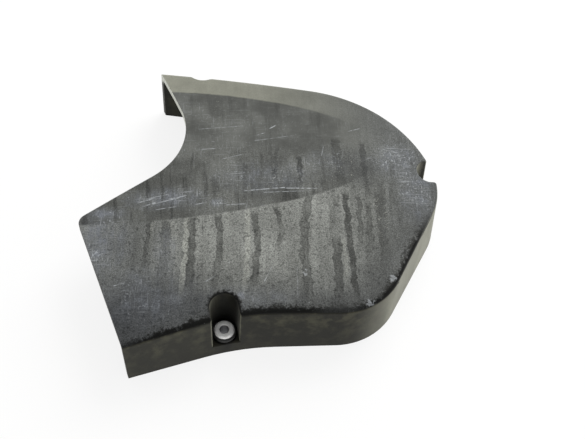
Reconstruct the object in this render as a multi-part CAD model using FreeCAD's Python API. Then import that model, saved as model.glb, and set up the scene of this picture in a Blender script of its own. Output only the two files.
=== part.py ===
import FreeCAD, Part
import math
import os
from FreeCAD import Vector

# Front sprocket cover of a motorcycle, lying on its open rim with the outer face up.
# The origin is the axis of the front screw on the mounting plane, x runs along the front
# wall, y towards the back wall and z out of the engine.

# Main sizes between corners before rounding: tail to rounded end, front wall to back corner
cover_length = 215.6
cover_width = 152.8

# Moulding
wall = 3.0
skirt_draft_deg = 1.5
edge_round = 3.0
mouth_round = 1.0
bead_width = 3.0
bead_depth = 1.5

# Skirt outline: corners before rounding, and their radii; the side corner flares towards the rim
front_wall_y = -5.2
front_bend_x = 8.4
front_bend_r = 152.0
front_left_heading = 15.5
front_corner_x = 87.3
front_corner_r = 41.3
side_corner_x = 133.2
side_corner_y = 76.0
side_corner_r = 42.5
side_flare = 3.0
end_corner_x = 113.5
end_corner_y = front_wall_y + cover_width
back_heading = 170.3

# Crown: a roof of two shallow slopes with a wide ridge, swept sideways over a large radius
front_edge_z = 39.5
front_slope_deg = 3.6
back_slope_deg = 5.5
ridge_y = 104.0
ridge_r = 480.0
crown_mid_x = 10.0
crown_sweep_r = 1100.0

# Band across the crown: a flatter cylinder that shaves the ridge and runs out to the right
band_mid_x = 30.0
band_z = 43.0
band_r = 1400.0
band_tilt_deg = 1.0

# Chain side: straight left edge, tail corner, and the round bite towards the back wall
tail_corner_x = side_corner_x - cover_length
tail_corner_y = 58.1
tail_corner_r = 6.0
left_edge_heading = 109.9
bite_corner_x = -11.7
bite_corner_y = 106.2
bite_r = 43.5
bite_upper_heading = 111.5

# Screws: the right one sits on the side wall, the rear one stands off the back wall
front_screw_heading = -82.0
right_screw_run = 16.4
right_screw_inset = 3.2
rear_screw_run = 127.0
rear_screw_stand_off = 5.6
pocket_floor_z = 10.0
pocket_floor_r = 7.5
rear_pocket_floor_r = 9.3
pocket_draft_deg = 0.8

# Flanged steel collar of each screw
bore_r = 2.7
collar_r = 4.0
collar_flange_r = 5.8
collar_flange_thick = 1.5
collar_flange_round = 1.2
collar_break = 0.4

# Rubber bush between collar and cover
bush_r = 5.0
bush_flange_r = 7.1
bush_flange_thick = 2.0
bush_foot_z = 1.5
bush_round = 0.8
slip = 0.05
post_wall = 2.3

# Stock that reaches past the finished cover, and the tolerance for finding its edges
stock_past = 50.0
stock_top = front_edge_z + stock_past
stock_left_x = tail_corner_x - stock_past
touch = 0.02

origin = Vector(0, 0, 0)
up = Vector(0, 0, 1)
front_bend = Vector(front_bend_x, front_wall_y, 0)
front_corner = Vector(front_corner_x, front_wall_y, 0)
side_corner = Vector(side_corner_x, side_corner_y, 0)
end_corner = Vector(end_corner_x, end_corner_y, 0)
tail_corner = Vector(tail_corner_x, tail_corner_y, 0)
bite_corner = Vector(bite_corner_x, bite_corner_y, 0)


def toward(heading):
    """Unit direction on the mounting plane."""
    angle = math.radians(heading)
    return Vector(math.cos(angle), math.sin(angle), 0)


def rounded_wire(corners, inset, z):
    """Closed outline through (point, radius) corners, all sides moved inwards by the inset."""
    ends = []
    for i, (here, radius) in enumerate(corners):
        before = (here - corners[i - 1][0]).normalize()
        after = (corners[(i + 1) % len(corners)][0] - here).normalize()
        inward = Vector(-before.y - after.y, before.x + after.x, 0)
        point = here + inward * (inset / (1 + before.dot(after))) + up * z
        left_turn = before.cross(after).z > 0
        r = (radius - inset if left_turn else radius + inset) if radius else 0
        half = before.getAngle(after) / 2
        run = r * math.tan(half)
        middle = point + (after - before).normalize() * (r / math.cos(half) - r)
        ends.append((point - before * run, middle, point + after * run, r))
    edges = []
    for i, (start, middle, end, r) in enumerate(ends):
        if r:
            edges.append(Part.Arc(start, middle, end).toShape())
        onward = ends[(i + 1) % len(ends)][0]
        if onward.distanceToPoint(end) > touch:
            edges.append(Part.makeLine(end, onward))
    return Part.Wire(edges)


def along(point, heading, x):
    """Point at a given x on the line through a point."""
    way = toward(heading)
    return point + way * ((x - point.x) / way.x)


def skirt_corners(z):
    """Corners of the skirt at a height, counter-clockwise, closed far past the chain side."""
    across = end_corner - front_corner
    out = Vector(across.y, -across.x, 0).normalize()
    flared = side_corner + out * (side_flare * (1 - z / front_edge_z))
    side = end_corner - flared
    side_run = side_corner_r * math.tan((flared - front_corner).getAngle(side) / 2)
    end_half = side.getAngle(toward(back_heading)) / 2
    end_r = (side.Length - side_run) / math.tan(end_half)
    return [
        (along(front_bend, front_left_heading, stock_left_x), 0),
        (front_bend, front_bend_r),
        (front_corner, front_corner_r),
        (flared, side_corner_r),
        (end_corner, end_r),
        (along(end_corner, back_heading, stock_left_x), 0),
    ]


def stock_span():
    """Smallest and largest y of the stock, past every corner of the skirt."""
    places = [point.y for point, radius in skirt_corners(0)]
    return min(places) - stock_past, max(places) + stock_past


def skirt_solid(inset):
    """Drafted block inside the skirt, taller than the cover."""
    lean = stock_top * math.tan(math.radians(skirt_draft_deg))
    foot = rounded_wire(skirt_corners(0), inset, 0)
    head = rounded_wire(skirt_corners(stock_top), inset + lean, stock_top)
    return Part.makeLoft([foot, head], True, True)


def under_crown(block, sink):
    """What lies of a block below the crown, which is lowered by the sink."""
    front_rise = math.tan(math.radians(front_slope_deg))
    back_fall = math.tan(math.radians(back_slope_deg))
    ridge_z = front_edge_z + (ridge_y - front_wall_y) * front_rise
    front_y, back_y = stock_span()
    profile = rounded_wire(
        [
            (Vector(front_y, -stock_top, 0), 0),
            (Vector(back_y, -stock_top, 0), 0),
            (Vector(back_y, ridge_z - (back_y - ridge_y) * back_fall, 0), 0),
            (Vector(ridge_y, ridge_z, 0), ridge_r),
            (Vector(front_y, ridge_z - (ridge_y - front_y) * front_rise, 0), 0),
        ],
        0,
        crown_mid_x,
    )
    profile.rotate(origin, Vector(1, 1, 1), 120)
    half_width = max(side_corner_x - crown_mid_x, crown_mid_x - stock_left_x) + stock_past
    sweep_deg = math.degrees(math.asin(half_width / crown_sweep_r))
    hub = Vector(crown_mid_x, 0, ridge_z - crown_sweep_r)
    profile.rotate(hub, Vector(0, 1, 0), -sweep_deg)
    roof = Part.Face(profile).revolve(hub, Vector(0, 1, 0), 2 * sweep_deg)
    tilt = math.radians(band_tilt_deg)
    band_way = Vector(0, math.cos(tilt), -math.sin(tilt))
    band_start = Vector(band_mid_x, ridge_y, band_z - band_r) - band_way * (ridge_y - front_y)
    band = Part.makeCylinder(band_r, back_y - front_y, band_start, band_way)
    band.rotate(band_start, band_way, 180)
    return block.common(band.translated(up * -sink)).common(roof.translated(up * -sink))


def chain_side(inset):
    """Upright block that is trimmed off the chain side; a negative inset widens it."""
    front_y, back_y = stock_span()
    left_way = toward(left_edge_heading)
    bite_way = toward(bite_upper_heading)
    corners = [
        (Vector(stock_left_x - stock_past, front_y, 0), 0),
        (tail_corner + left_way * ((front_y - tail_corner.y) / left_way.y), 0),
        (tail_corner, tail_corner_r),
        (bite_corner, bite_r),
        (bite_corner + bite_way * ((back_y - bite_corner.y) / bite_way.y), 0),
        (Vector(stock_left_x - stock_past, back_y, 0), 0),
    ]
    return Part.Face(rounded_wire(corners, inset, -stock_top)).extrude(up * 2 * stock_top)


def screw_places():
    """Axis of each screw, its way out through the skirt, its stand-off and its pocket's radius."""
    side = (end_corner - side_corner).normalize()
    side_out = Vector(side.y, -side.x, 0)
    back = toward(back_heading)
    back_out = Vector(back.y, -back.x, 0)
    right = side_corner + side * right_screw_run - side_out * right_screw_inset
    rear = end_corner + back * rear_screw_run + back_out * rear_screw_stand_off
    return {
        "front": (origin, toward(front_screw_heading), 0, pocket_floor_r),
        "right": (right, side_out, 0, pocket_floor_r),
        "rear": (rear, back_out, rear_screw_stand_off, rear_pocket_floor_r),
    }


def pocket(screw, thick, bottom):
    """U-shaped well around a screw, open outwards and drafted; thick adds a wall around it."""
    centre, out, stand_off, floor_r = screw
    side = Vector(-out.y, out.x, 0)
    wires = []
    for z in (bottom, stock_top):
        r = floor_r + thick + (z - pocket_floor_z) * math.tan(math.radians(pocket_draft_deg))
        base = centre + up * z
        mouth = out * stock_past
        corners = [base + side * r + mouth, base + side * r, base - side * r, base - side * r + mouth]
        wires.append(
            Part.Wire(
                [
                    Part.makeLine(corners[0], corners[1]),
                    Part.Arc(corners[1], base - out * r, corners[2]).toShape(),
                    Part.makeLine(corners[2], corners[3]),
                    Part.makeLine(corners[3], corners[0]),
                ]
            )
        )
    return Part.makeLoft(wires, True, True)


def boss(screw):
    """Post under a pocket floor; a screw outside the skirt also has a web back to it."""
    centre, out, stand_off, floor_r = screw
    r = bush_r + slip + post_wall
    post = Part.makeCylinder(r, pocket_floor_z, centre)
    if not stand_off:
        return post
    reach = stand_off + wall / 2
    web = Part.makeBox(reach, 2 * r, pocket_floor_z, Vector(-reach, -r, 0))
    web.rotate(origin, up, math.degrees(math.atan2(out.y, out.x)))
    return post.fuse(web.translated(centre))


def cut_edges(solid, before):
    """Edges that the last cut has left in the skin of a solid, away from the stock's end."""
    skin = Part.makeCompound(before.Faces)
    lines = Part.makeCompound(before.Edges)
    found = []
    for edge in solid.Edges:
        middle = Part.Vertex(edge.valueAt((edge.FirstParameter + edge.LastParameter) / 2))
        if middle.X > stock_left_x + wall and middle.distToShape(skin)[0] < touch:
            if middle.distToShape(lines)[0] > touch:
                found.append(edge)
    return found


def cover_shell(screws):
    """The whole moulding."""
    block = skirt_solid(0)
    body = under_crown(block, 0)
    body = body.makeFillet(edge_round, cut_edges(body, block))
    hollow = skirt_solid(wall)
    core = under_crown(hollow, wall).cut(chain_side(-bead_width))
    core = core.fuse(under_crown(hollow, wall + bead_depth))
    for screw in screws:
        cut = body.cut(pocket(screw, 0, pocket_floor_z))
        body = cut.makeFillet(mouth_round, cut_edges(cut, body))
        core = core.cut(pocket(screw, wall, pocket_floor_z - wall))
        core = core.cut(boss(screw))
    shell = body.cut(core)
    for screw in screws:
        shell = shell.fuse(boss(screw))
        shell = shell.cut(Part.makeCylinder(bush_r + slip, stock_top, screw[0]))
    return shell.cut(chain_side(0)).removeSplitter()


def turned(profile):
    """Solid of revolution about the z axis from (radius, z) points."""
    points = [Vector(r, 0, z) for r, z in profile]
    return Part.Face(Part.makePolygon(points + points[:1])).revolve(origin, up, 360)


def round_rims(solid, rim_r, bottom, radius):
    """Solid with its circular edges of one size rounded, those above a height."""
    rims = []
    for edge in solid.Edges:
        if len(edge.Vertexes) == 1 and abs(edge.Curve.Radius - rim_r) < touch:
            if edge.Curve.Center.z > bottom + touch:
                rims.append(edge)
    return solid.makeFillet(radius, rims)


def collar():
    """Steel collar with a rounded flange, its foot flush with the rim."""
    seat = pocket_floor_z + bush_flange_thick
    top = seat + collar_flange_thick
    c = collar_break
    solid = turned(
        [
            (bore_r, 0),
            (collar_r - c, 0),
            (collar_r, c),
            (collar_r, seat),
            (collar_flange_r, seat),
            (collar_flange_r, top),
            (bore_r + c, top),
            (bore_r, top - c),
        ]
    )
    return round_rims(solid, collar_flange_r, seat, collar_flange_round)


def bush():
    """Top-hat rubber bush around the collar, with a rounded flange."""
    top = pocket_floor_z + bush_flange_thick
    inner_r = collar_r + slip
    solid = turned(
        [
            (inner_r, bush_foot_z),
            (bush_r, bush_foot_z),
            (bush_r, pocket_floor_z),
            (bush_flange_r, pocket_floor_z),
            (bush_flange_r, top),
            (inner_r, top),
        ]
    )
    return round_rims(solid, bush_flange_r, bush_foot_z, bush_round)


os.makedirs("parts", exist_ok=True)
places = screw_places()
cover_shell(places.values()).exportStep("parts/cover_shell.step")
for name, (centre, *_) in places.items():
    collar().translated(centre).exportStep(f"parts/{name}_collar.step")
    bush().translated(centre).exportStep(f"parts/{name}_bush.step")
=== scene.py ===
"""Looks of the sprocket cover: worn black moulding, rubber bushes and plated collars."""

import logging
from dataclasses import dataclass, field
from enum import Enum
from typing import Any, Sequence, Union

import bmesh
import bpy
from mathutils import Matrix, Vector

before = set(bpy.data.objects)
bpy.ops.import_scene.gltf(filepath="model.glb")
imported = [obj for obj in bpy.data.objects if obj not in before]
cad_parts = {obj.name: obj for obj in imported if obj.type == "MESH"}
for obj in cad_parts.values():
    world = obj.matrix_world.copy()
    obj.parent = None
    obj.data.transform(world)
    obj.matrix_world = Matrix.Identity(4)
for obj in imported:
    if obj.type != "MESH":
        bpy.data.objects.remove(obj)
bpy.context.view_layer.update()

LOG = logging.getLogger("cover")
MM = 0.001

# The photo's width, and the focal length of the camera that was fitted to it
PHOTO_WIDTH_PX = 585
FOCAL_PX = 900.0

# Mean of a noise, share of each channel in a warm tint, and factors that make a grey slightly olive
NOISE_MEAN = 0.5
WARM_SHARES = (0.5, 0.25, -1.0)
OLIVE = (0.985, 1.02, 0.985, 1.0)

# Sockets of a mix node for colours: factor, first and second colour, and the result
MIX_INPUTS = (0, 6, 7)
MIX_RESULT = 2

Colour = tuple[float, float, float, float]
Triple = tuple[float, float, float]
Socket = bpy.types.NodeSocket
Value = Union[float, Sequence[float], Socket]


def grey(level: float, warm: float = 0.0) -> Colour:
    """Gives a grey of a linear brightness; a warm share tints it, and a negative one is bluish."""
    red, green, blue = (level * (1 + share * warm) for share in WARM_SHARES)
    return (red, green, blue, 1.0)


def olive(level: float, warm: float = 0.0) -> Colour:
    """Gives a tone of the dusty plastic: the grey of that brightness and warmth, slightly greener."""
    red, green, blue, alpha = (part * factor for part, factor in zip(grey(level, warm), OLIVE))
    return (red, green, blue, alpha)


class Op(str, Enum):
    """Operations of the math nodes that are used here."""

    ADD = "ADD"
    SUB = "SUBTRACT"
    MUL = "MULTIPLY"
    DIV = "DIVIDE"
    MAX = "MAXIMUM"
    MIN = "MINIMUM"
    SOFT_MIN = "SMOOTH_MIN"
    ABS = "ABSOLUTE"
    ROOT = "SQRT"
    MADD = "MULTIPLY_ADD"


@dataclass(frozen=True)
class Ramp:
    """Smooth change from a start at the low limit to an end at the high one."""

    low: Value
    high: Value
    start: float = 0.0
    end: float = 1.0


@dataclass(frozen=True)
class Noise:
    """Cycles per mm, octaves, share of each further octave, and distortion of a noise."""

    per_mm: float
    detail: float = 2.0
    rough: float = 0.5
    bend: float = 0.0


class Graph:
    """Short way to write down the nodes of a tree."""

    def __init__(self, tree: bpy.types.NodeTree) -> None:
        """Starts on the tree that the nodes go into."""
        self.tree = tree

    def node(self, kind: str, **settings: Any) -> bpy.types.Node:
        """Adds a node.

        Args:
            kind: Blender's name of the node type.
            **settings: Properties to set on it.

        Returns:
            The new node.
        """
        made = self.tree.nodes.new(kind)
        for name, value in settings.items():
            setattr(made, name, value)
        return made

    def put(self, socket: Socket, value: Value) -> None:
        """Links a socket or sets its constant.

        Args:
            socket: Input to feed.
            value: Output to link, or a constant.
        """
        if isinstance(value, bpy.types.NodeSocket):
            self.tree.links.new(value, socket)
        else:
            socket.default_value = value

    def math(self, op: Op, *values: Value) -> Socket:
        """Adds a math node.

        Args:
            op: Operation.
            *values: One to three operands.

        Returns:
            The result.
        """
        made = self.node("ShaderNodeMath", operation=op.value)
        for socket, value in zip(made.inputs, values):
            self.put(socket, value)
        return made.outputs[0]

    def chain(self, op: Op, values: Sequence[Value]) -> Socket:
        """Joins values by one operation.

        Args:
            op: Operation.
            values: Two or more values.

        Returns:
            The result.
        """
        total = values[0]
        for value in values[1:]:
            total = self.math(op, total, value)
        return total

    def sum(self, *values: Value) -> Socket:
        """Adds two or more values up."""
        return self.chain(Op.ADD, values)

    def times(self, *values: Value) -> Socket:
        """Multiplies two or more values."""
        return self.chain(Op.MUL, values)

    def less(self, first: Value, second: Value) -> Socket:
        """Takes the second value from the first."""
        return self.math(Op.SUB, first, second)

    def ramp(self, value: Value, form: Ramp) -> Socket:
        """Maps a value smoothly by a ramp.

        Args:
            value: What is mapped.
            form: The ramp.

        Returns:
            The mapped value.
        """
        # A smooth step stays in its range, and a clamp of its own would overfill the renderer's stack
        made = self.node("ShaderNodeMapRange", interpolation_type="SMOOTHSTEP", clamp=False)
        for socket, item in zip(made.inputs, (value, form.low, form.high, form.start, form.end)):
            self.put(socket, item)
        return made.outputs[0]

    def sway(self, noise: Socket, reach: float) -> Socket:
        """Spreads a noise evenly about zero, over a given reach."""
        return self.times(self.less(noise, NOISE_MEAN), reach)

    def noise(self, place: Value, kind: Noise, line: bool = False) -> Socket:
        """Adds a noise texture.

        Args:
            place: Coordinates in metres, or a place on a line.
            kind: Its size and detail.
            line: Whether the noise runs along a line.

        Returns:
            The noise, about 0.5 on average.
        """
        made = self.node("ShaderNodeTexNoise", noise_dimensions="1D" if line else "3D")
        settings = {
            "W" if line else "Vector": place,
            "Scale": kind.per_mm if line else kind.per_mm / MM,
            "Detail": kind.detail,
            "Roughness": kind.rough,
            "Distortion": kind.bend,
        }
        for name, item in settings.items():
            self.put(made.inputs[name], item)
        return made.outputs["Fac"]

    def blend(self, factor: Value, first: Value, second: Value, mode: str = "MIX") -> Socket:
        """Mixes two colours.

        Args:
            factor: Share of the second.
            first: Colour at 0.
            second: Colour at 1.
            mode: How they are mixed.

        Returns:
            The mixed colour.
        """
        made = self.node("ShaderNodeMix", data_type="RGBA", blend_type=mode)
        for index, item in zip(MIX_INPUTS, (factor, first, second)):
            self.put(made.inputs[index], item)
        return made.outputs[MIX_RESULT]

    def shade(self, colour: Value, tone: Socket) -> Socket:
        """Makes a colour lighter or darker.

        Args:
            colour: What is changed.
            tone: Factor for its brightness.

        Returns:
            The product.
        """
        factor = self.node("ShaderNodeCombineColor")
        for socket in factor.inputs:
            self.put(socket, tone)
        return self.blend(1.0, colour, factor.outputs[0], "MULTIPLY")

    def split(self, vector: Socket) -> tuple[Socket, Socket, Socket]:
        """Splits a vector.

        Args:
            vector: What is split.

        Returns:
            Its x, y and z.
        """
        made = self.node("ShaderNodeSeparateXYZ")
        self.put(made.inputs[0], vector)
        return made.outputs[0], made.outputs[1], made.outputs[2]

    def join(self, x: Value, y: Value, z: Value = 0.0) -> Socket:
        """Makes a vector.

        Args:
            x: First part.
            y: Second part.
            z: Third part.

        Returns:
            The vector.
        """
        made = self.node("ShaderNodeCombineXYZ")
        for socket, value in zip(made.inputs, (x, y, z)):
            self.put(socket, value)
        return made.outputs[0]

    def place(self) -> Socket:
        """Gives the object coordinates in metres."""
        return self.node("ShaderNodeTexCoord").outputs["Object"]

    def stretch(self, place: Socket, factors: Triple) -> Socket:
        """Scales coordinates along their axes.

        Args:
            place: Coordinates.
            factors: Factor for each axis.

        Returns:
            The scaled coordinates.
        """
        made = self.node("ShaderNodeMapping")
        self.put(made.inputs["Vector"], place)
        self.put(made.inputs["Scale"], factors)
        return made.outputs[0]

    def split_mm(self, place: Socket) -> tuple[Socket, Socket, Socket]:
        """Splits coordinates in metres into x, y and z in mm."""
        return self.split(self.stretch(place, (1 / MM, 1 / MM, 1 / MM)))

    def use(self, group: bpy.types.NodeTree, **values: Value) -> bpy.types.Node:
        """Adds a node group.

        Args:
            group: The shared effect.
            **values: Its inputs by name, with spaces written as underscores.

        Returns:
            The group's node.
        """
        made = self.node("ShaderNodeGroup", node_tree=group)
        for name, value in values.items():
            self.put(made.inputs[name.replace("_", " ")], value)
        return made


class Effects:
    """Shared node groups; each gives masks or measures only."""

    @staticmethod
    def start(
        name: str, inputs: Sequence[str], outputs: Sequence[str]
    ) -> tuple[Graph, dict[str, Socket], bpy.types.Node]:
        """Opens a new group.

        Args:
            name: Name of the group.
            inputs: Names of the input values.
            outputs: Names of the output values.

        Returns:
            The graph, its input values by name and the output node.
        """
        tree = bpy.data.node_groups.new(name, "ShaderNodeTree")
        for items, way in ((inputs, "INPUT"), (outputs, "OUTPUT")):
            for item in items:
                tree.interface.new_socket(item, in_out=way, socket_type="NodeSocketFloat")
        graph = Graph(tree)
        given = graph.node("NodeGroupInput").outputs
        return graph, {item: given[item] for item in inputs}, graph.node("NodeGroupOutput")

    @classmethod
    def crown_fields(cls) -> bpy.types.NodeTree:
        """Tells the shaved band of the crown from the roof of two slopes.

        Returns:
            A group with the height in mm by which the band lies below the roof.
        """
        g, given, end = cls.start("crown_fields", ("X", "Y"), ("Band",))
        ridge = CrownShape()
        x, y = given["X"], given["Y"]
        held = g.math(Op.MIN, g.math(Op.MAX, y, ridge.arc_from), ridge.arc_to)
        across = g.less(held, ridge.centre_y)
        arc = g.math(Op.ROOT, g.less(ridge.radius**2, g.times(across, across)))
        past = g.less(y, held)
        front = g.times(g.math(Op.MIN, past, 0.0), ridge.front_slope)
        back = g.times(g.math(Op.MAX, past, 0.0), -ridge.back_slope)
        side = g.less(x, ridge.middle_x)
        roof_drop = g.math(Op.DIV, g.times(side, side), -2 * ridge.sweep_radius)
        roof = g.sum(arc, ridge.centre_z, front, back, roof_drop)
        side = g.less(x, ridge.band_x)
        band_drop = g.math(Op.DIV, g.times(side, side), -2 * ridge.band_radius)
        tilt = g.times(g.less(y, ridge.ridge_y), -ridge.band_slope)
        band = g.sum(band_drop, tilt, ridge.band_z)
        g.put(end.inputs[0], g.less(roof, band))
        return g.tree

    @classmethod
    def edge_distance(cls) -> bpy.types.NodeTree:
        """Measures how far a place lies from the front wall and from the slanted end wall.

        Returns:
            A group with the distance in mm.
        """
        g, given, end = cls.start("edge_distance", ("X", "Y"), ("Distance",))
        line = SkirtLine()
        x, y = given["X"], given["Y"]
        past = g.less(x, line.bend_x)
        turn = g.math(Op.MIN, g.math(Op.MAX, g.less(line.bend_reach, past), 0.0), 2 * line.bend_reach)
        arc = g.math(Op.DIV, g.times(turn, turn), 4 * line.bend_reach)
        straight = g.math(Op.MAX, g.less(-line.bend_reach, past), 0.0)
        dip = g.times(g.sum(arc, straight), line.left_slope)
        rise = g.less(y, line.wall_y)
        front = g.sum(rise, dip)
        off = g.times(g.less(x, line.corner_x), -line.end_sine)
        side = g.math(Op.MADD, rise, line.end_cosine, off)
        g.put(end.inputs[0], g.math(Op.SOFT_MIN, front, side, line.corner_blend))
        return g.tree

    @classmethod
    def soft_spot(cls) -> bpy.types.NodeTree:
        """Makes an elliptical patch with a soft edge.

        Returns:
            A group with the patch's mask.
        """
        inputs = ("X", "Y", "Centre X", "Centre Y", "Reach X", "Reach Y")
        g, given, end = cls.start("soft_spot", inputs, ("Mask",))
        squares = []
        for axis in "XY":
            off = g.less(given[axis], given[f"Centre {axis}"])
            off = g.math(Op.DIV, off, given[f"Reach {axis}"])
            squares.append(g.times(off, off))
        g.put(end.inputs[0], g.ramp(g.math(Op.ROOT, g.sum(*squares)), SPOT_FADE))
        return g.tree

    @classmethod
    def water_run(cls) -> bpy.types.NodeTree:
        """Makes one dried water run with a wavy outline.

        Returns:
            A group with the run's inside and its tide line.
        """
        inputs = ("X", "Y", "Ragged", "Top X", "Top Y", "Foot X", "Foot Y", "Bend", "Half width")
        g, given, end = cls.start("water_run", inputs, ("Core", "Rim"))
        form = RunShape()
        y, top_x, top_y, foot_y = given["Y"], given["Top X"], given["Top Y"], given["Foot Y"]
        down = g.math(Op.DIV, g.less(top_y, y), g.less(top_y, foot_y))
        middle = g.math(Op.MADD, g.less(given["Foot X"], top_x), down, top_x)
        bulge = g.times(g.less(1.0, down), down, given["Bend"])
        middle = g.math(Op.MADD, bulge, form.bulge, middle)
        along = g.math(Op.MADD, y, form.wave_per_mm, g.times(top_x, form.wave_shift))
        wave = g.noise(along, form.wave, line=True)
        middle = g.math(Op.MADD, g.less(wave, NOISE_MEAN), form.wave_reach, middle)
        along = g.math(Op.MADD, y, form.swell_per_mm, g.times(top_x, form.swell_shift))
        swell = g.noise(along, form.swell, line=True)
        swell = g.math(Op.MADD, swell, form.swell_gain, form.swell_least)
        half = g.times(given["Half width"], swell)
        off = g.sum(g.math(Op.ABS, g.less(given["X"], middle)), given["Ragged"])
        past = g.less(off, half)
        below, above = (g.less(top_y, form.top_below), g.sum(top_y, form.top_above))
        upper = g.ramp(y, Ramp(below, above, 1.0, 0.0))
        below, above = (g.less(foot_y, form.foot_below), g.sum(foot_y, form.foot_above))
        length = g.times(upper, g.ramp(y, Ramp(below, above)))
        g.put(end.inputs[0], g.times(g.ramp(past, form.core), length))
        g.put(end.inputs[1], g.times(g.ramp(g.math(Op.ABS, past), form.rim), length))
        return g.tree

    @classmethod
    def scratch(cls) -> bpy.types.NodeTree:
        """Makes one scratch from a point along a direction.

        Returns:
            A group with the scratch's mask.
        """
        inputs = ("X", "Y", "From X", "From Y", "Way X", "Way Y", "Length", "Half width")
        g, given, end = cls.start("scratch", inputs, ("Mask",))
        x = g.less(given["X"], given["From X"])
        y = g.less(given["Y"], given["From Y"])
        form = ScratchShape()
        along = g.sum(g.times(x, given["Way X"]), g.times(y, given["Way Y"]))
        across = g.less(g.times(x, given["Way Y"]), g.times(y, given["Way X"]))
        line = g.ramp(g.less(g.math(Op.ABS, across), given["Half width"]), form.side)
        begun = g.ramp(along, form.start)
        ended = g.ramp(g.less(given["Length"], along), form.end)
        g.put(end.inputs[0], g.times(line, begun, ended))
        return g.tree


@dataclass(frozen=True)
class CrownShape:
    """Sizes in mm of the crown: an arched ridge between two slopes, shaved by a flatter band."""

    ridge_y: float = 104.0
    centre_y: float = 96.02
    centre_z: float = -435.08
    radius: float = 480.0
    arc_from: float = 65.88
    arc_to: float = 142.03
    front_slope: float = 0.0629
    back_slope: float = 0.0963
    middle_x: float = 10.0
    sweep_radius: float = 1100.0
    band_x: float = 30.0
    band_z: float = 43.0
    band_radius: float = 1400.0
    band_slope: float = 0.01746


@dataclass(frozen=True)
class SkirtLine:
    """Line of the front wall with its bend, and of the slanted end wall, in mm."""

    wall_y: float = -5.2
    bend_x: float = 8.4
    bend_reach: float = 20.7
    left_slope: float = 0.277
    corner_x: float = 87.3
    corner_blend: float = 22.5
    end_sine: float = 0.87
    end_cosine: float = 0.492


@dataclass(frozen=True)
class RunShape:
    """What all water runs share, in mm: how they wander and swell, and how soft their ends and sides are."""

    bulge: float = 4.0
    wave_per_mm: float = 0.14
    wave_shift: float = 7.3
    wave: Noise = Noise(1.0, 3.0, 0.6)
    wave_reach: float = 3.4
    swell_per_mm: float = 0.17
    swell_shift: float = 3.1
    swell: Noise = Noise(1.0)
    swell_gain: float = 0.9
    swell_least: float = 0.55
    top_below: float = 3.0
    top_above: float = 1.0
    foot_below: float = 6.0
    foot_above: float = 14.0
    core: Ramp = Ramp(-0.35, 0.1, 1.0, 0.0)
    rim: Ramp = Ramp(0.0, 0.55, 1.0, 0.0)


@dataclass(frozen=True)
class ScratchShape:
    """How soft the sides and ends of all scratches are, in mm."""

    side: Ramp = Ramp(-0.1, 0.3, 1.0, 0.0)
    start: Ramp = Ramp(-0.5, 1.0)
    end: Ramp = Ramp(-0.5, 2.0)


@dataclass(frozen=True)
class Run:
    """One dried water run on the crown, from its top down to its foot, in mm."""

    top: tuple[float, float]
    foot: tuple[float, float]
    half_width: float
    depth: float = 1.0
    bend: float = 0.0


@dataclass(frozen=True)
class Scratch:
    """One scratch on the crown, in mm."""

    start: tuple[float, float]
    end: tuple[float, float]
    half_width: float = 0.12
    depth: float = 1.0


@dataclass(frozen=True)
class Spot:
    """A soft patch on the crown, in mm."""

    centre: tuple[float, float]
    reach: tuple[float, float]
    depth: float = 1.0


SPOT_FADE = Ramp(0.15, 1.0, 1.0, 0.0)

# Runs on the front slope, dark and light, and faint ones on the band and behind it
DARK_RUNS = (
    Run((-41.6, 55), (-44.5, 22), 0.9, 0.8, 0.4),
    Run((-32, 55), (-34.6, 17), 2.6, 0.75, 1.2),
    Run((-17.1, 57), (-18.5, 8), 1.9),
    Run((-2.6, 58), (-5.7, 10), 1.6, 0.95, 2),
    Run((17.6, 59), (14.2, 8), 1.6, 1, 3.2),
    Run((30.8, 63), (33.6, 45), 1.2),
    Run((33.2, 46), (30.3, 33), 1.3),
    Run((51, 72), (47.5, 3), 2.2, 0.85, -3.6),
    Run((67.3, 70), (62, 42), 1.3, 0.45, -1.2),
    Run((64.6, 43), (63.2, 2), 2.3),
    Run((71.7, 73), (72.7, 3), 1.5, 1.15),
    Run((79.8, 71), (78.4, 38), 1.2, 0.9),
    Run((84.9, 67), (84, 31), 1.5, 0.8),
    Run((91.8, 74), (91.6, 27), 2.2, 0.9),
)
LIGHT_RUNS = (
    Run((-20.4, 57), (-23.6, 8), 1.6, 1, 0.9),
    Run((14.2, 61), (11, 9), 1.6, 0.9, 0.9),
    Run((3.1, 60), (3, 50), 1.5, 0.6),
    Run((68.3, 42), (67.5, 14), 1.4, 0.6, 0.5),
    Run((-27.8, 55), (-29.4, 30), 1.8, 0.35),
    Run((-39.3, 56), (-40.6, 40), 1.2, 0.45),
)
BAND_RUNS = (
    Run((46.8, 100), (45.4, 74), 1.6, 0.9),
    Run((33, 108), (31, 70), 1.2, 0.4),
    Run((85.5, 111), (85, 66), 1.7, 0.9),
    Run((69, 114), (70.5, 74), 2.8, 0.75),
    Run((-4, 86), (-5, 62), 2, 0.4),
    Run((14, 96), (13, 64), 1.5, 0.4),
    Run((30.6, 92), (32.6, 78), 1.2, 0.9, -0.6),
    Run((94, 82), (93, 50), 2.4, 0.6),
    Run((103, 96), (101, 60), 1.6, 0.4),
)

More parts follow.
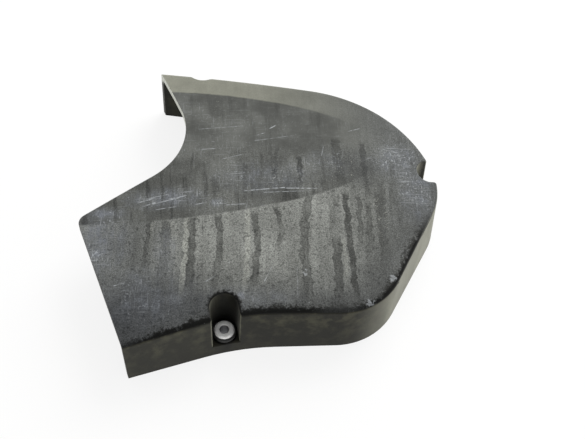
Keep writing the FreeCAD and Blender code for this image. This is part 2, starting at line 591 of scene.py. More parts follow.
# The photo's main scratches; finer ones are noise
SCRATCHES = (
    Scratch((13, 74), (38, 76.2), 0.2),
    Scratch((36, 75.6), (56, 75.2), 0.16),
    Scratch((24, 72.6), (52, 73.6), 0.08, 0.7),
    Scratch((29.6, 121.6), (33.8, 124.4), 0.2),
    Scratch((22, 116.6), (27, 118.4), 0.1, 0.8),
    Scratch((78, 119.6), (86, 122.4), 0.14, 0.8),
    Scratch((20, 112), (44, 116), 0.07, 0.6),
    Scratch((-46, 64.6), (-37.5, 67.8), 0.2),
    Scratch((-48.5, 67.6), (-40, 70), 0.14, 0.9),
    Scratch((-40, 66.2), (-24, 70.4), 0.17),
    Scratch((-31, 69.3), (-20, 71.8), 0.15, 0.9),
    Scratch((-44, 70), (-30, 73.2), 0.1, 0.8),
    Scratch((-38, 62.2), (-26, 64), 0.1, 0.8),
    Scratch((2, 64), (14, 64.6), 0.12, 0.8),
    Scratch((-16, 65), (-9, 66), 0.15, 0.8),
    Scratch((-14, 122), (14, 124), 0.1, 0.6),
    Scratch((-12, 106), (-3, 106.4), 0.13, 0.7),
    Scratch((0, 98), (13, 101.6), 0.08, 0.6),
    Scratch((60, 100), (62, 108), 0.09, 0.7),
    Scratch((-72.6, 33), (-69, 38), 0.14, 0.9),
    Scratch((-72, 31), (-67.4, 35), 0.1, 0.7),
    Scratch((-60, 14.6), (-53, 16.4), 0.16, 0.8),
    Scratch((-10, 15), (-4, 19), 0.12, 0.8),
    Scratch((22, 14), (27, 24), 0.1, 0.7),
    Scratch((40.2, 4), (40.8, 24), 0.1, 0.35),
    Scratch((98, 106), (108, 104), 0.12, 0.6),
    Scratch((104, 98), (113, 101), 0.1, 0.6),
    Scratch((84, 96), (90, 99), 0.12, 0.6),
)

# Patches with a bluish haze, with pale splashes and with pale chips, and one that is darker
HAZE = (
    Spot((-32, 70), (32, 11)),
    Spot((-66, 60), (16, 8)),
    Spot((-70, 42), (24, 30)),
    Spot((106, 97), (21, 18), 0.8),
    Spot((116, 76), (16, 32), 0.75),
    Spot((-44, 8), (40, 26), 0.5),
    Spot((-32, 34), (9, 22), 0.6),
    Spot((26, 84), (40, 16), 0.6),
    Spot((62, 94), (20, 16), 0.3),
    Spot((-2.5, 66), (6, 5)),
    Spot((10, 4), (44, 11), 0.45),
    Spot((9, 6), (5, 5)),
)
SPLASHES = (
    Spot((36, 84), (36, 17)),
    Spot((70, 90), (24, 20), 0.9),
    Spot((96, 62), (20, 34), 0.9),
    Spot((112, 92), (20, 20), 0.4),
    Spot((-4, 68), (26, 10), 0.6),
    Spot((0, 130), (22, 30), 0.4),
)
CHIPS = (
    Spot((80.2, 1.4), (4.2, 3)),
    Spot((94.4, 16.8), (3.4, 4)),
    Spot((45, 20), (2.6, 4.4), 0.8),
)
DARKER_PATCHES = (Spot((83, 92), (24, 22), 0.5),)

# Where the front edge is rubbed less, the mouth of the front pocket, and the pockets, painted dark inside as
# shade
KEPT_EDGE = (
    Spot((64, -4), (20, 12), 0.4),
    Spot((-52, -17), (9, 9), 0.4),
)
ARCH = Spot((0, 0), (13.6, 13.6))
POCKETS = (
    Spot((0, 0), (12, 12)),
    Spot((125.8, 91), (11, 11)),
    Spot((-10.7, 174.5), (11, 11)),
)


class Finish:
    """Base of the procedural finishes."""

    name = "finish"

    def make(self) -> bpy.types.Material:
        """Makes the material.

        Returns:
            The new material.
        """
        material = bpy.data.materials.new(self.name)
        material.use_nodes = True
        graph = Graph(material.node_tree)
        self.paint(graph, material.node_tree.nodes["Principled BSDF"])
        return material

    def paint(self, g: Graph, shader: bpy.types.Node) -> None:
        """Feeds the shader.

        Args:
            g: Graph of the material.
            shader: Its shader node.
        """
        raise NotImplementedError

    @staticmethod
    def bump(g: Graph, shader: bpy.types.Node, height: Socket, depth_mm: float) -> None:
        """Adds fine relief.

        Args:
            g: Graph of the material.
            shader: Shader that takes the relief.
            height: Height as a share of the depth.
            depth_mm: Depth of the relief.
        """
        made = g.node("ShaderNodeBump")
        g.put(made.inputs["Strength"], 1.0)
        g.put(made.inputs["Distance"], depth_mm * MM)
        g.put(made.inputs["Height"], height)
        g.put(shader.inputs["Normal"], made.outputs["Normal"])


@dataclass(frozen=True)
class WornPlastic(Finish):
    """Black moulded plastic with a film of dust, dried water runs, scratches and rubbed edges."""

    name: str = "worn_black_plastic"

    # Colours
    bare: Colour = olive(0.002, -0.1)
    skirt: Colour = olive(0.0105, 0.24)
    skirt_dust: Colour = olive(0.058, 0.3)
    flank_dust_and_light: Colour = olive(0.27, 0.16)
    deep: Colour = olive(0.03, -0.1)
    slope_dust: Colour = olive(0.185, 0.03)
    band_dust: Colour = olive(0.074, 0.03)
    back_dust: Colour = olive(0.205, 0.12)
    end_dust: Colour = olive(0.087, 0.0)
    light_run: Colour = olive(0.3, 0.06)
    haze_tone: Colour = olive(0.2, -0.15)
    scratch_tone: Colour = olive(0.46, -0.06)
    cut_highlight: Colour = olive(0.62, 0.06)
    lip_tone: Colour = olive(0.2, 0.18)

    # Noises, from the coarsest to the finest, and those that are drawn out down the slopes
    cloud: Noise = Noise(0.035, 4.0, 0.55)
    patch: Noise = Noise(0.12, 4.0, 0.6)
    spots: Noise = Noise(0.5, 3.0)
    drops: Noise = Noise(0.55, 0.0)
    flecks: Noise = Noise(1.25, 1.0)
    grain: Noise = Noise(1.35, 3.0, 0.7)
    fine: Noise = Noise(3.1, 2.0, 0.6)
    drips: Noise = Noise(1.0, 4.0, 0.62)
    drips_grid: Triple = (0.24, 0.022, 0.0)
    washed: Noise = Noise(1.0, 4.0, 0.55)
    washed_grid: Triple = (0.07, 0.07, 0.03)
    hairlines: Noise = Noise(1.0, 3.0, 0.6, 0.4)
    hairline_grids: tuple[Triple, ...] = (
        (0.06, 1.5, 0.0), (0.8, 0.4, 0.0), (0.5, -0.9, 0.0), (1.2, 0.1, 0.0)
    )
    hairline: Ramp = Ramp(0.59, 0.7)

    # Crown: its height in mm, and the upright part of its normal
    top: Ramp = Ramp(30.0, 34.0)
    upward: Ramp = Ramp(0.3, 0.6)

    # Film of dust: by place in mm, darker towards the front edge and the left, and of another tone behind
    behind_y: Ramp = Ramp(92.0, 112.0)
    behind_x: Ramp = Ramp(78.0, 112.0)
    back_to_end: Ramp = Ramp(-10.0, 112.0)
    right_gain: Ramp = Ramp(-34.0, 14.0)
    right_gain_mm: float = 20.0
    front_blot_mm: float = 14.0
    front_fade: Ramp = Ramp(16.0, 56.0, 0.16, 1.0)
    left_fade: Ramp = Ramp(-52.0, -16.0, 0.48, 1.0)
    right_fade: Ramp = Ramp(44.0, 92.0, 1.0, 0.77)
    tail_x: Ramp = Ramp(-76.0, -52.0, 0.36, 0.0)
    tail_y: Ramp = Ramp(34.0, 54.0)

    # Water runs on the front slope: ragged by a noise along a slanted line, in cycles per mm
    shore_y: float = 0.8
    shore_x: float = 0.3
    shore: Noise = Noise(1.0, 4.0, 0.65)
    shore_mm: float = 1.7
    below_band: Ramp = Ramp(-0.04, 0.1, 1.0, 0.0)
    light_share: float = 0.46
    dark_share: Ramp = Ramp(0.36, 0.62, 0.34, 0.58)
    rim_share: float = 0.48
    drop_share: Ramp = Ramp(0.68, 0.73, 0.0, 0.4)

    # Band: its edge by how far it lies below the roof in mm, its fade along x, and its trickles
    band_blot_mm: float = 0.12
    band_edge: Ramp = Ramp(-0.05, 0.07)
    band_fade: Ramp = Ramp(58.0, 100.0, 1.0, 0.12)
    band_cloud: Ramp = Ramp(0.35, 0.7, 0.0, 0.3)
    streaks_behind: Ramp = Ramp(76.0, 90.0, 0.0, 0.75)
    trickle: Ramp = Ramp(0.52, 0.66, 0.0, 0.5)
    trickle_fade: Ramp = Ramp(88.0, 116.0, 1.0, 0.35)
    faint_share: float = 0.7

    # Speckle of the film, calmer on the band and on the strip behind it
    fine_share: float = 0.8
    speckle: Ramp = Ramp(0.3, 0.74, 0.52, 1.56)
    strip_y: Ramp = Ramp(98.0, 120.0)
    strip_x: Ramp = Ramp(60.0, 116.0, 0.78, 0.25)
    band_calm: float = 0.3
    cloud_tone: Ramp = Ramp(0.25, 0.75, 0.82, 1.16)
    drip_tone: Ramp = Ramp(0.3, 0.7, -0.16, 0.16)

    # Splashes, haze and scuffs
    splash_drips: Ramp = Ramp(0.4, 0.56, 1.0, 0.25)
    splash_flecks: Ramp = Ramp(0.6, 0.72, 0.0, 0.85)
    haze_drips: Ramp = Ramp(0.46, 0.62, 1.0, 0.5)
    haze_patch: Ramp = Ramp(0.44, 0.66)
    haze_grain: Ramp = Ramp(0.36, 0.7, 0.3, 1.0)
    haze_blotches: float = 0.66
    haze_veil: float = 0.2
    band_scuffs: float = 0.16
    end_scuffs: Ramp = Ramp(84.0, 112.0, 0.0, 0.2)
    haze_scuffs: float = 0.62
    scuff_cloud: Ramp = Ramp(0.4, 0.6, 0.3, 1.0)
    scratch_breaks: Ramp = Ramp(0.34, 0.62, 0.12, 0.8)

    # Rubbed front edge and chips, by the distance in mm from the edge
    torn_spots_mm: float = 9.0
    torn_grain_mm: float = 6.0
    torn_blot_mm: float = 8.0
    left_gain: Ramp = Ramp(-52.0, -14.0, 1.6, 0.0)
    rub_width: Ramp = Ramp(2.8, 6.4, 1.0, 0.0)
    rub_fine: Ramp = Ramp(0.3, 0.5, 0.8, 1.0)
    arch_spots: float = 0.7
    arch: Ramp = Ramp(0.2, 0.4)
    arch_grain: Ramp = Ramp(0.3, 0.5, 0.6, 1.0)
    rub_upward: Ramp = Ramp(0.2, 0.5)
    rub_end: Ramp = Ramp(40.0, 66.0, 1.0, 0.0)
    chip_spots: float = 2.4
    chip: Ramp = Ramp(0.5, 0.8)
    chip_grain: Ramp = Ramp(0.3, 0.6, 0.35, 1.0)
    chip_share: float = 0.45

    # Walls: dust, the flank that faces the end lighter partly from dust and partly as painted light, the
    # pockets painted dark inside as shade with their lips, and the cut of the bite with a painted highlight
    wall_patch: Ramp = Ramp(0.4, 0.72)
    wall_height: Ramp = Ramp(2.0, 30.0, 0.25, 0.8)
    inside: Ramp = Ramp(-0.5, -0.1, 0.3, 1.0)
    flank: Ramp = Ramp(0.15, 0.95)
    flank_grain: Ramp = Ramp(0.2, 0.8, 0.75, 1.0)
    flank_washed: Ramp = Ramp(0.3, 0.7, 0.68, 1.0)
    well_shade: Ramp = Ramp(0.28, 0.42)
    lip_from: Ramp = Ramp(0.3, 0.55)
    lip_to: Ramp = Ramp(0.86, 0.97, 1.0, 0.0)
    lip_pocket: Ramp = Ramp(0.02, 0.1)
    lip_front: Ramp = Ramp(-3.0, -1.0, 1.0, 0.0)
    lip_height: Ramp = Ramp(8.0, 11.0)
    lip_patch: Ramp = Ramp(0.3, 0.55, 0.45, 1.0)
    cut_side: Ramp = Ramp(-0.6, -0.3, 1.0, 0.0)
    cut_behind: Ramp = Ramp(100.0, 122.0)
    cut_upright: Ramp = Ramp(0.3, 0.6, 1.0, 0.0)

    # Gloss and relief
    wall_rough: float = 0.5
    crown_rough: float = 0.2
    rub_gloss: float = 0.3
    run_gloss: float = 0.06
    grain_rough: float = 0.2
    shine: tuple[tuple[str, Value], ...] = (
        ("Specular IOR Level", 0.12),
        ("Specular Tint", (1.0, 0.99, 0.9, 1.0)),
        ("Sheen Weight", 0.1),
        ("Sheen Roughness", 0.35),
        ("Sheen Tint", (1.0, 1.0, 0.9, 1.0)),
    )
    grain_relief: float = 0.6
    fine_relief: float = 0.4
    relief_mm: float = 0.035

    def paint(self, g: Graph, shader: bpy.types.Node) -> None:
        """Feeds the shader layer by layer."""
        PlasticPainter(g, self).paint(shader)


class PlasticPainter:
    """Paints the worn plastic, from the film of dust to the rubbed edge; lengths are in mm."""

    def __init__(self, g: Graph, look: WornPlastic) -> None:
        """Sets up what the layers share.

        Args:
            g: Graph of the material.
            look: Colours and sizes of the finish.
        """
        self.g = g
        self.look = look
        self.place = g.place()
        self.x, self.y, self.z = g.split_mm(self.place)
        self.nx, _, self.nz = g.split(g.node("ShaderNodeNewGeometry").outputs["Normal"])
        self.high = g.ramp(self.z, look.top)
        self.crown = g.times(g.ramp(self.nz, look.upward), self.high)
        self.edge = g.use(Effects.edge_distance(), X=self.x, Y=self.y).outputs[0]
        self.fields = g.use(Effects.crown_fields(), X=self.x, Y=self.y).outputs[0]
        self.cloud = g.noise(self.place, look.cloud)
        self.patch = g.noise(self.place, look.patch)
        self.grain = g.noise(self.place, look.grain)
        self.fine = g.noise(self.place, look.fine)
        self.blot = g.less(self.patch, NOISE_MEAN)

    def paint(self, shader: bpy.types.Node) -> None:
        """Lays the layers in order and feeds the shader.

        Args:
            shader: Shader node of the material.
        """
        self.lay_dust()
        self.ready_runs()
        self.wet_slope()
        self.lay_band()
        self.speckle()
        self.mark()
        self.colour = self.g.blend(self.crown, self.walls(), self.film)
        self.rub_edge()
        self.chip()
        self.g.put(shader.inputs["Base Color"], self.colour)
        self.polish(shader)

    def lay_dust(self) -> None:
        """Lays the film of dust on the front slope, and readies the one for the back and the end."""
        g, look = self.g, self.look
        self.behind = g.math(Op.MAX, g.ramp(self.y, look.behind_y), g.ramp(self.x, look.behind_x))
        gain = g.ramp(self.x, look.right_gain)
        near = g.math(Op.MADD, self.blot, look.front_blot_mm, self.edge)
        near = g.math(Op.MADD, gain, look.right_gain_mm, near)
        fades = g.ramp(near, look.front_fade), g.ramp(self.x, look.left_fade), g.ramp(self.x, look.right_fade)
        tail = g.times(g.ramp(self.x, look.tail_x), g.ramp(self.y, look.tail_y))
        laid = g.sum(g.times(*fades), tail)
        self.film = g.blend(laid, look.deep, look.slope_dust)
        self.back_film = g.blend(g.ramp(self.x, look.back_to_end), look.back_dust, look.end_dust)

    def ready_runs(self) -> None:
        """Readies the drawn-out noise, and the shared effect and ragged outline of the water runs."""
        g, look = self.g, self.look
        self.drips = g.noise(g.stretch(self.place, look.drips_grid), look.drips)
        self.run_group = Effects.water_run()
        line = g.math(Op.MADD, self.y, look.shore_y, g.times(self.x, look.shore_x))
        self.ragged = g.sway(g.noise(line, look.shore, line=True), look.shore_mm)

    def run_masks(self, runs: Sequence[Run]) -> tuple[Socket, Socket]:
        """Draws several water runs.

        Args:
            runs: The runs.

        Returns:
            The masks of their insides and of their tide lines.
        """
        g = self.g
        core: Value = 0.0
        rim: Value = 0.0
        for run in runs:
            ends = dict(Top_X=run.top[0], Top_Y=run.top[1], Foot_X=run.foot[0], Foot_Y=run.foot[1])
            form = dict(Ragged=self.ragged, Bend=run.bend, Half_width=run.half_width)
            made = g.use(self.run_group, X=self.x, Y=self.y, **form, **ends)
            core = g.math(Op.MAX, g.times(made.outputs["Core"], run.depth), core)
            rim = g.math(Op.MAX, g.times(made.outputs["Rim"], run.depth), rim)
        return core, rim

    def wet_slope(self) -> None:
        """Lets water run down the front slope, and lays the film of the back and the end beside it."""
        g, look = self.g, self.look
        slope_only = g.ramp(self.fields, look.below_band)
        self.dark, rims = (g.times(mask, slope_only) for mask in self.run_masks(DARK_RUNS))
        light = g.times(self.run_masks(LIGHT_RUNS)[0], slope_only)
        self.spots = g.noise(self.place, look.spots)
        film = g.blend(g.times(light, look.light_share), self.film, look.light_run)
        film = g.blend(g.times(self.dark, g.ramp(self.patch, look.dark_share)), film, look.bare)
        film = g.blend(g.times(rims, look.rim_share), film, look.bare)
        drops = g.ramp(g.noise(self.place, look.drops), look.drop_share)
        film = g.blend(g.times(drops, slope_only), film, look.bare)
        self.film = g.blend(self.behind, film, self.back_film)

    def lay_band(self) -> None:
        """Colours the shaved band with its faint runs and trickles, and the darker patch at its end."""
        g, look = self.g, self.look
        band = g.ramp(g.math(Op.MADD, self.blot, look.band_blot_mm, self.fields), look.band_edge)
        self.band = g.times(band, g.ramp(self.x, look.band_fade))
        band_film = g.blend(g.ramp(self.cloud, look.band_cloud), look.band_dust, look.slope_dust)
        behind = g.ramp(self.x, look.streaks_behind)
        faint = self.run_masks(BAND_RUNS)[0]
        trickle = g.times(g.ramp(self.drips, look.trickle), g.ramp(self.y, look.trickle_fade))
        streaks = g.math(Op.MAX, g.times(faint, look.faint_share), trickle)
        band_film = g.blend(streaks, band_film, look.bare)
        film = g.blend(g.times(streaks, behind), self.film, look.bare)
        film = g.blend(self.band, film, band_film)
        self.film = g.blend(self.patches(DARKER_PATCHES), film, look.deep)

    def speckle(self) -> None:
        """Breaks up the film with the moulding's grain."""
        g, look = self.g, self.look
        speckle = g.math(Op.MADD, g.less(self.fine, NOISE_MEAN), look.fine_share, self.grain)
        speckle = g.ramp(speckle, look.speckle)
        strip = g.times(g.ramp(self.y, look.strip_y), g.ramp(self.x, look.strip_x))
        calm = g.less(g.math(Op.MADD, self.band, -look.band_calm, 1.0), strip)
        speckle = g.math(Op.MADD, g.less(speckle, 1.0), calm, 1.0)
        clouds = g.ramp(self.cloud, look.cloud_tone)
        streaks = g.math(Op.MADD, g.ramp(self.drips, look.drip_tone), calm, 1.0)
        self.film = g.shade(self.film, g.times(speckle, clouds, streaks))

    def mark(self) -> None:
        """Adds splashes, haze, scuffs and scratches."""
        g, look = self.g, self.look
        splash = g.times(self.patches(SPLASHES), g.ramp(self.drips, look.splash_drips))
        splash = g.times(splash, g.ramp(g.noise(self.place, look.flecks), look.splash_flecks))
        film = g.blend(splash, self.film, look.light_run)
        haze = g.times(self.patches(HAZE), g.ramp(self.drips, look.haze_drips))
        blotch = g.times(g.ramp(self.patch, look.haze_patch), g.ramp(self.grain, look.haze_grain))
        veil = g.math(Op.MADD, blotch, look.haze_blotches, look.haze_veil)
        film = g.blend(g.times(haze, veil), film, look.haze_tone)
        scuffs = self.scuffs()
        worn = g.sum(g.times(self.band, look.band_scuffs), g.ramp(self.x, look.end_scuffs))
        worn = g.math(Op.MADD, haze, look.haze_scuffs, worn)
        scuffs = g.times(scuffs, worn, g.ramp(self.cloud, look.scuff_cloud))
        scratches = g.times(self.cuts(SCRATCHES), g.ramp(self.spots, look.scratch_breaks))
        self.film = g.blend(g.math(Op.MAX, scuffs, scratches), film, look.scratch_tone)

    def walls(self) -> Socket:
        """Colours the upright walls: dark and olive, lighter towards the end partly from dust and partly as
        painted light, with worn lips, painted shade inside the pockets and a painted highlight on the cut of
        the bite.

        Returns:
            The colour.
        """
        g, look = self.g, self.look
        dust = g.times(g.ramp(self.patch, look.wall_patch), g.ramp(self.z, look.wall_height))
        dust = g.times(dust, g.ramp(self.nz, look.inside))
        colour = g.blend(dust, look.skirt, look.skirt_dust)
        washed = g.noise(g.stretch(self.place, look.washed_grid), look.washed)
        # The flank that faces the end is lighter partly from dust and partly as painted light from that side.
        flank = g.ramp(self.nx, look.flank)
        flank = g.times(flank, g.ramp(self.grain, look.flank_grain), g.ramp(washed, look.flank_washed))
        colour = g.blend(flank, colour, look.flank_dust_and_light)
        pocket = self.patches(POCKETS)
        well_shade = g.ramp(pocket, look.well_shade)
        lip = g.ramp(g.math(Op.ABS, self.nx), look.lip_from)
        lip = g.times(lip, g.ramp(g.math(Op.ABS, self.nx), look.lip_to))
        mouth = g.ramp(pocket, look.lip_pocket)
        lip = g.times(lip, mouth, g.ramp(self.y, look.lip_front), g.ramp(self.z, look.lip_height))
        # The insides of the pockets are painted near-black as shade.
        colour = g.blend(well_shade, colour, look.bare)
        lip = g.times(lip, g.ramp(self.patch, look.lip_patch))
        colour = g.blend(lip, colour, look.lip_tone)
        # The cut face of the bite gets a painted highlight: a light line where it catches the light.
        cut = g.ramp(self.nx, look.cut_side)
        cut = g.times(cut, g.ramp(self.z, look.top), g.ramp(self.y, look.cut_behind))
        cut = g.times(cut, g.ramp(g.math(Op.ABS, self.nz), look.cut_upright))
        return g.blend(cut, colour, look.cut_highlight)

    def rub_edge(self) -> None:
        """Rubs the front edge and the arch over the front pocket bare."""
        g, look = self.g, self.look
        torn = g.sum(g.sway(self.spots, look.torn_spots_mm), g.sway(self.grain, look.torn_grain_mm))
        blots = g.times(self.blot, look.torn_blot_mm)
        rub = g.ramp(g.sum(self.edge, blots, torn, g.ramp(self.x, look.left_gain)), look.rub_width)
        rub = g.times(rub, g.ramp(self.fine, look.rub_fine))
        uneven = g.less(self.spots, NOISE_MEAN)
        arch = g.math(Op.MADD, uneven, look.arch_spots, self.patches((ARCH,)))
        arch = g.ramp(arch, look.arch)
        rub = g.math(Op.MAX, rub, g.times(arch, g.ramp(self.grain, look.arch_grain)))
        spared = g.math(Op.MADD, self.patches(KEPT_EDGE), -1.0, 1.0)
        upward = g.ramp(self.nz, look.rub_upward)
        self.rub = g.times(rub, upward, self.high, g.ramp(self.y, look.rub_end), spared)
        self.colour = g.blend(self.rub, self.colour, look.bare)

    def chip(self) -> None:
        """Adds the pale chips near the front edge."""
        g, look = self.g, self.look
        chips = g.sum(self.patches(CHIPS), g.sway(self.spots, look.chip_spots))
        chips = g.times(g.ramp(chips, look.chip), self.crown, g.ramp(self.grain, look.chip_grain))
        self.colour = g.blend(g.times(chips, look.chip_share), self.colour, look.scratch_tone)

    def polish(self, shader: bpy.types.Node) -> None:
        """Sets how the plastic shines, and its relief.

        Args:
            shader: Shader to feed.
        """
        g, look = self.g, self.look
        rough = g.math(Op.MADD, self.crown, look.crown_rough, look.wall_rough)
        rough = g.less(rough, g.times(self.rub, look.rub_gloss))
        rough = g.less(rough, g.times(self.dark, self.crown, look.run_gloss))
        rough = g.sum(rough, g.sway(self.grain, look.grain_rough))
        g.put(shader.inputs["Roughness"], rough)
        for name, value in look.shine:
            shader.inputs[name].default_value = value
        coarse = g.times(self.grain, look.grain_relief)
        relief = g.sum(coarse, g.times(self.fine, look.fine_relief))
        look.bump(g, shader, relief, look.relief_mm)

    def scuffs(self) -> Socket:
        """Draws fine hairlines that run in several directions.

        Returns:
            Their mask.
        """
        g, look = self.g, self.look
        mask: Value = 0.0
        for grid in look.hairline_grids:
            lines = g.noise(g.stretch(self.place, grid), look.hairlines)
            mask = g.math(Op.MAX, g.ramp(lines, look.hairline), mask)
        return mask

    def cuts(self, scratches: Sequence[Scratch]) -> Socket:
        """Draws several scratches.

        Args:
            scratches: The scratches.

        Returns:
            Their mask.
        """
        g = self.g
        group = Effects.scratch()
        mask: Value = 0.0
        for item in scratches:
            run = Vector(item.end) - Vector(item.start)
            way = run.normalized()
            start = dict(From_X=item.start[0], From_Y=item.start[1])
            line = dict(Way_X=way.x, Way_Y=way.y, Length=run.length, Half_width=item.half_width)
            made = g.use(group, X=self.x, Y=self.y, **start, **line)
            mask = g.math(Op.MAX, g.times(made.outputs[0], item.depth), mask)
        return mask

    def patches(self, spots: Sequence[Spot]) -> Socket:
        """Draws several soft patches.

        Args:
            spots: The patches.

        Returns:
            Their mask.
        """
        g = self.g
        group = Effects.soft_spot()
        mask: Value = 0.0
        for item in spots:
            centre = dict(Centre_X=item.centre[0], Centre_Y=item.centre[1])
            reach = dict(Reach_X=item.reach[0], Reach_Y=item.reach[1])
            made = g.use(group, X=self.x, Y=self.y, **centre, **reach)
            mask = g.math(Op.MAX, g.times(made.outputs[0], item.depth), mask)
        return mask


@dataclass(frozen=True)
class BushRubber(Finish):
    """Black rubber, slightly greyed."""

    name: str = "bush_black_rubber"
    deep: Colour = grey(0.008)
    bloom: Colour = grey(0.03, 0.05)
    patch: Noise = Noise(0.4, 3.0, 0.6)
    fine: Noise = Noise(3.0)
    bloom_share: Ramp = Ramp(0.4, 0.7)
    rough: Ramp = Ramp(0.3, 0.7, 0.4, 0.55)
    relief_mm: float = 0.02

    def paint(self, g: Graph, shader: bpy.types.Node) -> None:
        """Feeds the shader.

        Args:
            g: Graph of the material.
            shader: Its shader node.
        """
        place = g.place()
        patch = g.noise(place, self.patch)
        fine = g.noise(place, self.fine)
        g.put(shader.inputs["Base Color"], g.blend(g.ramp(patch, self.bloom_share), self.deep, self.bloom))
        g.put(shader.inputs["Roughness"], g.ramp(patch, self.rough))
        self.bump(g, shader, fine, self.relief_mm)


@dataclass(frozen=True)
class CollarSteel(Finish):
    """Zinc-plated steel with a bore painted darker as shade, dulled where the collar lies in the open."""

    name: str = "collar_zinc_steel"
    bright: Colour = grey(0.98, 0.01)
    dull: Colour = grey(0.86, 0.02)
    weathered: Colour = grey(0.42, 0.03)
    bore_shade: Colour = grey(0.17, -0.06)
    patch: Noise = Noise(0.5, 4.0, 0.6)
    fine: Noise = Noise(4.0)
    dull_share: Ramp = Ramp(0.42, 0.72)
    in_the_open: Ramp = Ramp(20.0, 60.0, 0.0, 0.85)
    weather_share: Ramp = Ramp(0.3, 0.6, 0.7, 1.0)
    upright: Ramp = Ramp(0.02, 0.1, 1.0, 0.0)
    below_flange: Ramp = Ramp(12.6, 13.2, 1.0, 0.0)
    metallic: float = 0.2
    rough: Ramp = Ramp(0.3, 0.7, 0.32, 0.5)
    relief_mm: float = 0.008

    def paint(self, g: Graph, shader: bpy.types.Node) -> None:
        """Feeds the shader.

        Args:
            g: Graph of the material.
            shader: Its shader node.
        """
        place = g.place()
        patch = g.noise(place, self.patch)
        fine = g.noise(place, self.fine)
        x, y, z = g.split_mm(place)
        nz = g.split(g.node("ShaderNodeNewGeometry").outputs["Normal"])[2]
        plated = g.blend(g.ramp(patch, self.dull_share), self.bright, self.dull)
        weather = g.ramp(g.math(Op.MAX, x, y), self.in_the_open)
        weather = g.times(weather, g.ramp(patch, self.weather_share))
        plated = g.blend(weather, plated, self.weathered)
        # The bore's upright walls below the flange are painted darker as shade.
        bore = g.ramp(g.math(Op.ABS, nz), self.upright)
        bore = g.times(bore, g.ramp(z, self.below_flange))
        g.put(shader.inputs["Base Color"], g.blend(bore, plated, self.bore_shade))
        shader.inputs["Metallic"].default_value = self.metallic
        g.put(shader.inputs["Roughness"], g.ramp(patch, self.rough))
        self.bump(g, shader, fine, self.relief_mm)


@dataclass
class Moulding:
    """The one-piece plastic cover."""

    node: str = "cover_shell"
    finish: Finish = field(default_factory=WornPlastic)

    def dress(self) -> None:
        """Gives the moulding its finish."""
        dress(self.node, self.finish.make())


@dataclass
class ScrewSeats:
    """Rubber bush and steel collar of every screw."""

    screws: tuple[str, ...] = ("front", "right", "rear")
    rubber: Finish = field(default_factory=BushRubber)
    steel: Finish = field(default_factory=CollarSteel)

    def dress(self) -> None:
        """Gives the bushes and collars their finishes."""
        rubber = self.rubber.make()
        steel = self.steel.make()
        for screw in self.screws:
            dress(f"{screw}_bush", rubber)
            dress(f"{screw}_collar", steel)


def dress(node: str, material: bpy.types.Material) -> None:
    """Puts a material into every slot of a CAD node.

    Args:
        node: Name of the node.
        material: Material to use.
    """
    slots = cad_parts[node].material_slots
    for slot in slots:
        slot.material = material
    LOG.info("%s gets %s in %d slots", node, material.name, len(slots))


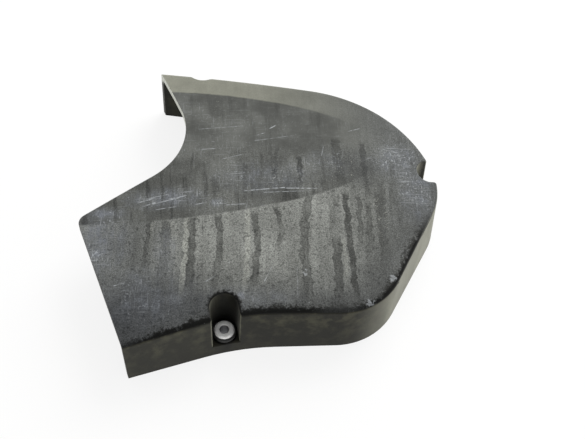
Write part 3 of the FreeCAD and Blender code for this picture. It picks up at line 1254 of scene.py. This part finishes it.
@dataclass
class Studio:
    """Pale floor, soft light and the camera at the photo's viewing angle."""

    floor_reach: float = 3.0
    floor_drop: float = 0.2 * MM
    floor_look: tuple[tuple[str, Value], ...] = (
        ("Base Color", grey(0.86, 0.01)),
        ("Roughness", 0.9),
        ("Specular IOR Level", 0.1),
    )
    floor_glow: float = 0.84
    eye_mm: Triple = (-2.288, -236.389, 466.071)
    right: Triple = (0.99655, -0.05771, 0.05965)
    above: Triple = (0.01382, 0.82404, 0.56636)
    key_place: Triple = (0.55, 0.75, 0.95)
    key_size: float = 0.9
    key_watts: float = 15.0
    aim: Triple = (0.025, 0.075, 0.02)
    sky_top: Colour = grey(0.7)
    sky_sides: Ramp = Ramp(-0.7, 0.6, 0.62, 0.7)
    sky_rise: Ramp = Ramp(0.3, 0.95)

    def build(self) -> None:
        """Builds the floor, the lights and the camera."""
        self.floor()
        self.sky()
        self.lamp()
        self.camera()
        LOG.info("studio is set")

    def floor(self) -> None:
        """Lays the floor just under the rim."""
        mesh = bmesh.new()
        bmesh.ops.create_grid(mesh, x_segments=1, y_segments=1, size=self.floor_reach)
        bmesh.ops.translate(mesh, verts=mesh.verts, vec=(0, 0, -self.floor_drop))
        data = bpy.data.meshes.new("floor")
        mesh.to_mesh(data)
        mesh.free()
        floor = bpy.data.objects.new("floor", data)
        bpy.context.scene.collection.objects.link(floor)
        material = bpy.data.materials.new("pale_floor")
        material.use_nodes = True
        tree = material.node_tree
        g = Graph(tree)
        shader = tree.nodes["Principled BSDF"]
        for name, value in self.floor_look:
            shader.inputs[name].default_value = value
        path = g.node("ShaderNodeLightPath")
        seen = g.math(Op.MAX, path.outputs["Is Camera Ray"], path.outputs["Is Glossy Ray"])
        seen = g.math(Op.MAX, seen, path.outputs["Is Transmission Ray"])
        glow = g.node("ShaderNodeEmission")
        mix = g.node("ShaderNodeMixShader")
        g.put(mix.inputs[0], g.times(seen, self.floor_glow))
        g.put(mix.inputs[1], shader.outputs[0])
        g.put(mix.inputs[2], glow.outputs[0])
        g.put(tree.nodes["Material Output"].inputs["Surface"], mix.outputs[0])
        data.materials.append(material)

    def sky(self) -> None:
        """Sets a light room that is a little darker on the camera's side."""
        world = bpy.data.worlds.new("room")
        world.use_nodes = True
        g = Graph(world.node_tree)
        coords = g.node("ShaderNodeTexCoord")
        _, y, z = g.split(coords.outputs["Generated"])
        side = g.ramp(y, self.sky_sides)
        level = g.blend(g.ramp(z, self.sky_rise), g.join(side, side, side), self.sky_top)
        backdrop = world.node_tree.nodes["Background"]
        g.put(backdrop.inputs["Color"], level)
        bpy.context.scene.world = world

    def lamp(self) -> None:
        """Hangs a square soft light that faces the object."""
        data = bpy.data.lights.new("key", "AREA")
        data.size = self.key_size
        data.energy = self.key_watts
        lamp = bpy.data.objects.new("key", data)
        way = Vector(self.aim) - Vector(self.key_place)
        turn = way.to_track_quat("-Z", "Y").to_matrix().to_4x4()
        lamp.matrix_world = Matrix.Translation(self.key_place) @ turn
        bpy.context.scene.collection.objects.link(lamp)

    def camera(self) -> None:
        """Sets the camera where the photo was taken from."""
        data = bpy.data.cameras.new("photo_view")
        data.sensor_fit = "HORIZONTAL"
        data.lens = FOCAL_PX / PHOTO_WIDTH_PX * data.sensor_width
        camera = bpy.data.objects.new("photo_view", data)
        back = Vector(self.right).cross(Vector(self.above))
        turn = Matrix((self.right, self.above, back)).transposed().to_4x4()
        camera.matrix_world = Matrix.Translation(Vector(self.eye_mm) * MM) @ turn
        bpy.context.scene.collection.objects.link(camera)
        bpy.context.scene.camera = camera


def main() -> None:
    """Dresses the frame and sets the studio."""
    logging.basicConfig(level=logging.INFO, format="%(name)s: %(message)s")
    bpy.context.scene.view_settings.view_transform = "Standard"
    Moulding().dress()
    ScrewSeats().dress()
    Studio().build()


if __name__ == "__main__":
    main()
